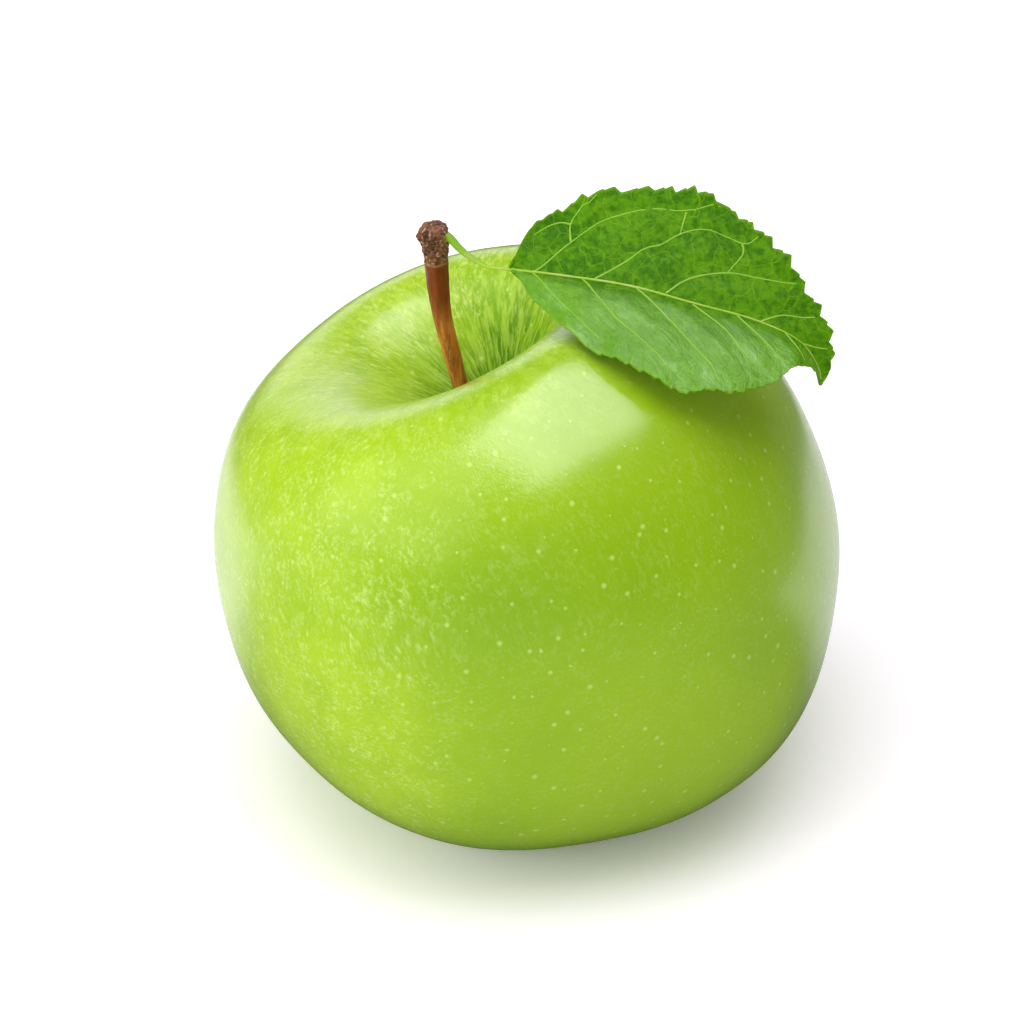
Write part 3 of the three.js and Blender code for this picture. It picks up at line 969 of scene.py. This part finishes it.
def quilted(along, across):
    """Points of the blade's middle surface: it swells softly between its veins."""
    spots = blade_rest(along, across)
    nearest = np.full(len(spots), 1e9)
    for vein_spot in VEIN_SPOTS:
        nearest = np.minimum(nearest, ((spots - vein_spot) ** 2).sum(axis=1))
    swell = 1 - np.exp(-nearest / QUILT_WIDTH ** 2)
    lift = QUILT_HEIGHT * (swell - 0.5) * smoothstep(1 - np.abs(across), 0, 0.12)
    return spots + blade_facing(along, across) * lift[:, None]


def build_blade():
    blade, flat = add_grid("leaf_blade", BLADE_STEPS, BLADE_COLUMNS)
    write_spots(blade, quilted((flat[:, 0] + 1) / 2, flat[:, 1]))
    paint(blade, "lower_half", smoothstep(-flat[:, 1], -0.04, 0.6))
    paint(blade, "margin", smoothstep(np.abs(flat[:, 1]), 0.965, 1))
    thicken(blade, BLADE_THICKNESS, underside=1)
    return blade


def build_stalk():
    """The stalk and the midrib it runs on into, as one tapering rod."""
    line = Line(STALK_POINTS + BLADE_MIDRIB[1:])
    stalk_share = Line(STALK_POINTS).length / line.length
    tip = 0.99

    def radius_at(climb, around):
        walk = climb * tip
        on_stalk = np.clip(walk / stalk_share, 0, 1)
        on_rib = np.clip((walk - stalk_share) / (1 - stalk_share), 0, 1)
        foot = 0.12 * np.exp(-((on_stalk / 0.12) ** 2))
        stalk = STALK_RADIUS + (RIB_RADIUS - STALK_RADIUS) * smoothstep(on_stalk, 0.1, 1.0) + foot
        taper = (RIB_RADIUS - RIB_TIP_RADIUS) * (1 - on_rib) ** 1.4 + RIB_TIP_RADIUS
        groove = 1 - 0.1 * np.exp(-((np.cos(around) - 1) / 0.2) ** 2)
        return np.where(walk < stalk_share, stalk * groove, taper) * round_ends(climb, 0.008)

    return roll_rod("leaf_stalk", line, 0.0, tip, radius_at, sides=28, steps=420)


def draw_veins():
    """Thin tapering cords half sunk in both faces of the blade."""
    clear_selection()
    bpy.ops.curve.primitive_nurbs_path_add()
    veins = bpy.context.object
    veins.name = veins.data.name = "leaf_veins"
    veins.data.splines.clear()
    veins.data.dimensions = "3D"
    veins.data.bevel_depth = MM
    veins.data.bevel_resolution = 2
    veins.data.use_fill_caps = True
    veins.data.resolution_u = 1
    sides = ((VEIN_LIFT, 1.0), (-VEIN_LIFT, VEIN_UNDERSIDE_FULLNESS))
    for walk in VEIN_WALKS:
        along, across = walk[:, 0], np.clip(walk[:, 1], -0.97, 0.97)
        for lift, fullness in sides:
            spots = (quilted(along, across) + blade_facing(along, across) * lift) * MM
            cord = veins.data.splines.new("POLY")
            cord.points.add(len(spots) - 1)
            share = np.linspace(1, 0, len(spots)) ** 1.5
            radii = (VEIN_TIP_RADIUS + (VEIN_RADIUS - VEIN_TIP_RADIUS) * share) * fullness
            cord.points.foreach_set("co", np.column_stack([spots, np.ones(len(spots))]).ravel())
            cord.points.foreach_set("radius", radii)
            cord.use_smooth = True
    bpy.ops.object.convert(target="MESH")
    veins.location = (0, 0, 0)
    bpy.ops.object.shade_smooth()
    return veins


# In each set of tones, the front half's tone is painted light and the pale whitish one is a painted sheen.
LEAF_TOP_TONES = {
    "dark": tone(48, 104, 0), "light": tone(84, 140, 0), "lit_front_half": tone(104, 166, 10),
    "painted_sheen": tone(160, 206, 120), "vein": tone(120, 172, 24),
}
LEAF_UNDERSIDE_TONES = {
    "dark": tone(128, 166, 78), "light": tone(148, 182, 98), "lit_front_half": tone(140, 176, 90),
    "painted_sheen": tone(164, 194, 116), "vein": tone(184, 206, 134),
}

# Nets of fine veins between the side veins, each as (scale, outer edge, core, strength).
VEIN_NETS = [(0.34, 0.03, 0.008, 0.9), (0.85, 0.06, 0.01, 0.4), (2.1, 0.12, 0.01, 0.22)]


def vein_net(tree, place):
    nets = []
    for scale, edge, core, strength in VEIN_NETS:
        inputs = {"Vector": place, "Scale": scale}
        cells = put(tree, "ShaderNodeTexVoronoi", inputs, feature="DISTANCE_TO_EDGE")
        nets.append(spread(tree, cells, edge, core, 0.0, strength))
    return calc(tree, "MAXIMUM", nets[0], calc(tree, "MAXIMUM", nets[1], nets[2]))


def leaf_material(name, tones):
    """One face of the blade: mottled green, a front half painted lighter as if lit and with a painted
    sheen, the fine veins and a pale margin.
    """
    material, tree, shader, place = new_material(name)
    mottle = calc(
        tree, "ADD",
        times(tree, clouds(tree, place, 0.14, 3.0, 0.6), 0.4),
        times(tree, clouds(tree, place, 1.1, 3.0, 0.6), 0.6),
    )
    warp = put(tree, "ShaderNodeTexNoise", {"Vector": place, "Scale": 0.5, "Detail": 1.0}, out="Color")
    bent = vector_calc(tree, "ADD", place, vector_calc(tree, "MULTIPLY", warp, (0.9, 0.9, 0.9)))
    lines = vein_net(tree, bent)
    # Painted sheen streaks and wrinkles of the front half are drawn out the way it hangs.
    reach = times(tree, vector_calc(tree, "DOT_PRODUCT", bent, HANG, out="Value"), 0.8)
    hanging = vector_calc(tree, "SUBTRACT", bent, vector_calc(tree, "MULTIPLY", HANG, reach))
    lower_half = kept(tree, "lower_half")
    # Painted sheen: pale whitish streaks on the front half stand in for its glossy reflection.
    painted_sheen = spread(tree, clouds(tree, hanging, 0.5, 4.0, 0.7), 0.48, 0.68, 0.0, 0.42)

    colour = mix(tree, spread(tree, mottle, 0.4, 0.6), tones["dark"], tones["light"])
    # Painted light: the front half of the blade is painted a lighter green, as if it faced the light more.
    colour = tint(tree, colour, lower_half, 0.62, tones["lit_front_half"])
    # The painted sheen is laid over the front half.
    colour = tint(tree, colour, lower_half, painted_sheen, tones["painted_sheen"])
    colour = tint(tree, colour, lines, 0.44, tones["vein"])
    colour = tint(tree, colour, kept(tree, "margin"), 0.6, tones["vein"])

    wrinkles = times(tree, clouds(tree, hanging, 1.2, 3.0, 0.6), lower_half)
    relief = bump(tree, lines, 0.5, -0.07)
    relief = bump(tree, wrinkles, 0.5, 0.5, relief)
    relief = bump(tree, clouds(tree, bent, 2.8, 3.0, 0.65), 0.9, 0.12, relief)
    plug(tree, shader, {
        "Base Color": colour,
        "Roughness": spread(tree, lower_half, 0.0, 0.5, 0.46, 0.3),
        "Specular IOR Level": spread(tree, lower_half, 0.0, 0.4, 0.08, 0.46),
        "Normal": relief,
    })
    return material


def vein_material():
    material, tree, shader, place = new_material("pale_vein")
    colour = mix(tree, clouds(tree, place, 0.5), tone(112, 170, 22), tone(150, 194, 52))
    plug(tree, shader, {"Base Color": colour, "Roughness": 0.45})
    return material


def stalk_material():
    """Pale green, with a faint blush here and there, and fresher green next to the knob."""
    material, tree, shader, place = new_material("fresh_stalk")
    blush = spread(tree, clouds(tree, place, 0.35), 0.5, 0.62)
    near_knob = spread(tree, kept(tree, "climb"), 0.2, 0.05)
    colour = mix(tree, clouds(tree, place, 0.8), tone(134, 180, 24), tone(168, 204, 58))
    colour = tint(tree, colour, blush, 0.3, tone(214, 196, 146))
    colour = tint(tree, colour, near_knob, 0.85, tone(112, 164, 10))
    plug(tree, shader, {"Base Color": colour, "Roughness": 0.4})
    return material


# ---- Dried flower in the basin -------------------------------

def find_basin_floor():
    """The middle of the basin's floor, once the fruit is set down."""
    turns, rows = np.meshgrid(np.linspace(0, 2 * math.pi, 720), np.linspace(-1, 1, 500))
    whole_fruit = grow_fruit(turns.ravel(), rows.ravel())[0]
    lowest_middle = grow_fruit(np.array([0.0]), np.array([-1.0]))[0][0]
    return lowest_middle + set_down(whole_fruit)


def build_sepal(index, floor):
    """One dried sepal: it hangs from its ring, narrows to a point, curls and is crumpled."""
    sepal, flat = add_grid(f"dried_sepal_{index + 1}", 40, 16)
    along, across = (flat[:, 0] + 1) / 2, flat[:, 1]
    out = SEPAL_RING_RADIUS - 0.5 * np.sin(math.pi * along) + 1.5 * along ** 2
    down = SEPAL_SETBACK + SEPAL_LENGTH * (0.72 * along - 0.1 * along ** 2)
    width = SEPAL_WIDTH * (1 - along) ** 0.7 + SEPAL_TIP_WIDTH
    curl = 0.35 * across ** 2 * (1 - along) + 0.12 * np.sin(3 * across + index) * along
    spots = np.stack([out - curl, across * width / 2, -down], axis=-1)
    crumple = ripple(spots, 0.8, 20 + index) * 0.12
    spots[:, 0] += crumple * smoothstep(along, 0.05, 0.4)
    turn = (index * 360 / SEPAL_COUNT + LOBES[1]) * DEGREE
    wheel = np.array([[math.cos(turn), math.sin(turn), 0], [-math.sin(turn), math.cos(turn), 0], [0, 0, 1]])
    write_spots(sepal, spots @ wheel + floor)
    thicken(sepal, SEPAL_THICKNESS)
    return sepal


def build_tuft(floor):
    """Dried stamens, spread from the middle like the seeds of a sunflower, joined to one piece."""

    def radius_at(climb, around):
        head = 0.14 * np.exp(-((climb - 0.93) / 0.06) ** 2)
        return (STAMEN_RADIUS * (1 - 0.4 * climb) + head) * round_ends(climb, 0.06)

    stamens = []
    for index in range(STAMEN_COUNT):
        turn = index * STAMEN_TURN
        out = TUFT_RADIUS * 0.62 * math.sqrt(index / STAMEN_COUNT)
        lean = 0.35 + 0.2 * math.sin(index * 1.7)
        length = STAMEN_LENGTH * (0.75 + 0.25 * math.cos(index * 2.9))
        away = np.array([math.cos(turn), math.sin(turn), 0])
        root = floor + away * out + np.array([0, 0, 0.3])
        tip = root + away * lean - np.array([0, 0, length])
        bend = (root + tip) / 2 + away * 0.2 * math.sin(index)
        line = Line([root, bend, tip])
        stamens.append(roll_rod(f"stamen_{index}", line, 0, 1, radius_at, sides=10, steps=26))
    work_on(*stamens)
    bpy.ops.object.join()
    return take("dried_tuft")


def dried_material(name, dark, light):
    material, tree, shader, place = new_material(name)
    lines = streaks_on(tree, place, 1.4, 0.4, 0.65)
    colour = mix(tree, lines, dark, light)
    plug(tree, shader, {"Base Color": colour, "Roughness": 0.85, "Normal": bump(tree, lines, 0.6, 0.08)})
    return material


# ---- Room: floor, lights and white surroundings --------------

# Reaches on the floor are in millimetres; the floor's size and all of the lights are in metres.
FLOOR_SIZE = 8
FLOOR_PAINT = 0.8
FLOOR_SEEN = (1.24, 1.17, 1.26, 1)
FLOOR_MIRRORED = 0.16
POOL_BEHIND = (0, 35)
POOL_REACH = (205, 160)
LIFT_REACH = (90, 320)
LIFT_LEVELS = (0.05, 0.6)
FILL_LEVEL = 0.42
MIRRORED_LEVEL = 0.02
BACKDROP_LEVEL = 1.0
# How straight a reflection has to look away from the looker, to show the backdrop.
BACKDROP_STRETCH = (0.78, 0.88)
LIGHT_AIM = (0, 0, 0.04)
WHITE = (1.0, 1.0, 1.0, 1)


def grey(level):
    return (level, level, level, 1)


def build_floor():
    """A matt floor; reflections show it grey, but for a bright pool behind the fruit."""
    clear_selection()
    bpy.ops.mesh.primitive_plane_add(size=FLOOR_SIZE)
    floor = take("floor")
    material, tree, shader, place = new_material("white_floor")
    rays = tree.nodes.new("ShaderNodeLightPath").outputs
    behind = put(tree, "ShaderNodeSeparateXYZ", {0: place}, out=1)
    away = vector_calc(tree, "LENGTH", place, out="Value")
    pool = times(tree, spread(tree, behind, *POOL_BEHIND), spread(tree, away, *POOL_REACH))
    mirrored = mix(tree, pool, grey(FLOOR_MIRRORED), WHITE)
    shade = mix(tree, rays["Is Glossy Ray"], grey(FLOOR_PAINT), mirrored)
    shade = mix(tree, rays["Is Camera Ray"], shade, FLOOR_SEEN)
    plug(tree, shader, {"Base Color": shade, "Roughness": 0.9, "Specular IOR Level": 0.0})
    # What the camera sees of the floor is lifted to white, more with the distance from the fruit.
    lift = spread(tree, away, *LIFT_REACH, *LIFT_LEVELS)
    glow = put(tree, "ShaderNodeEmission", {"Color": WHITE, "Strength": lift})
    both = put(tree, "ShaderNodeAddShader", {0: shader.outputs[0], 1: glow})
    seen = put(tree, "ShaderNodeMixShader", {0: rays["Is Camera Ray"], 1: shader.outputs[0], 2: both})
    tree.links.new(seen, tree.nodes["Material Output"].inputs["Surface"])
    give(floor, material)


def build_world():
    """White as seen; a soft fill for surfaces; for reflections, dark but for the far backdrop."""
    world = bpy.data.worlds.new("studio")
    bpy.context.scene.world = world
    world.use_nodes = True
    tree = world.node_tree
    fill = tree.nodes["Background"]
    white = put(tree, "ShaderNodeBackground", {"Color": WHITE, "Strength": 1.0})
    facing = put(tree, "ShaderNodeTexCoord", out="Generated")
    backward = put(tree, "ShaderNodeSeparateXYZ", {0: facing}, out=1)
    mirrored = spread(tree, backward, *BACKDROP_STRETCH, MIRRORED_LEVEL, BACKDROP_LEVEL)
    rays = tree.nodes.new("ShaderNodeLightPath").outputs
    inputs = {"Value": rays["Is Glossy Ray"], "To Min": FILL_LEVEL, "To Max": mirrored}
    plug(tree, fill, {"Color": WHITE, "Strength": put(tree, "ShaderNodeMapRange", inputs)})
    seen = put(tree, "ShaderNodeMixShader", {0: rays["Is Camera Ray"], 1: fill.outputs[0], 2: white})
    tree.links.new(seen, tree.nodes["World Output"].inputs["Surface"])


def add_softbox(name, spot, width, depth, watts, mirrored=True, lighting=True):
    """A soft panel that shows in reflections, lights surfaces, or both."""
    light = bpy.data.lights.new(name, "AREA")
    light.shape = "RECTANGLE"
    light.size = width
    light.size_y = depth
    light.energy = watts
    box = bpy.data.objects.new(name, light)
    box.location = spot
    box.visible_glossy = mirrored
    box.visible_diffuse = lighting
    aim = Vector(LIGHT_AIM) - Vector(spot)
    box.rotation_euler = aim.to_track_quat("-Z", "Y").to_euler()
    bpy.context.collection.objects.link(box)


# ---- The whole scene -----------------------------------------

set_camera()
build_floor()
build_world()
add_softbox("overhead", (0.02, -0.14, 0.62), width=0.6, depth=0.5, watts=2.3, mirrored=False)
add_softbox("overhead_card", (0.2, -0.12, 0.64), width=0.72, depth=0.62, watts=4.2, lighting=False)
add_softbox("left", (-0.4, -0.34, 0.42), width=0.9, depth=0.5, watts=0.7)
add_softbox("low_left", (-0.58, -0.14, 0.18), width=0.7, depth=0.34, watts=1.9, mirrored=False)
add_softbox("front", (0.04, -0.6, 0.16), width=0.5, depth=0.3, watts=0.64, mirrored=False)

skin = give(build_fruit(), skin_material())
stem = give(build_stem(), stem_material())
knob = give(build_knob(), knob_material())
blade = give(
    build_blade(),
    leaf_material("leaf_top", LEAF_TOP_TONES),
    leaf_material("leaf_underside", LEAF_UNDERSIDE_TONES),
)
stalk = give(build_stalk(), stalk_material())
veins = give(draw_veins(), vein_material())

basin_floor = find_basin_floor()
sepal_finish = dried_material("dried_sepal", tone(78, 50, 24), tone(140, 104, 62))
tuft_finish = dried_material("dried_tuft", tone(46, 28, 14), tone(96, 66, 38))
sepals = [give(build_sepal(index, basin_floor), sepal_finish) for index in range(SEPAL_COUNT)]
tuft = give(build_tuft(basin_floor), tuft_finish)

pieces = [
    (skin, ["fruit"], "skin"),
    (stem, ["stem"], "stem_wood"),
    (knob, ["spur_knob"], "knob_bark"),
    (blade, ["leaf"], "leaf_green"),
    (stalk, [], "leaf_green"),
    (veins, [], "leaf_green"),
    (tuft, ["stamen_tuft"], "dried_flower"),
]
pieces += [(sepal, [f"sepal_{index + 1}"], "dried_sepal") for index, sepal in enumerate(sepals)]
for piece, nodes, finish in pieces:
    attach(piece, "root")
    if nodes:
        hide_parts(*nodes)

bpy.context.scene.view_settings.view_transform = "Standard"
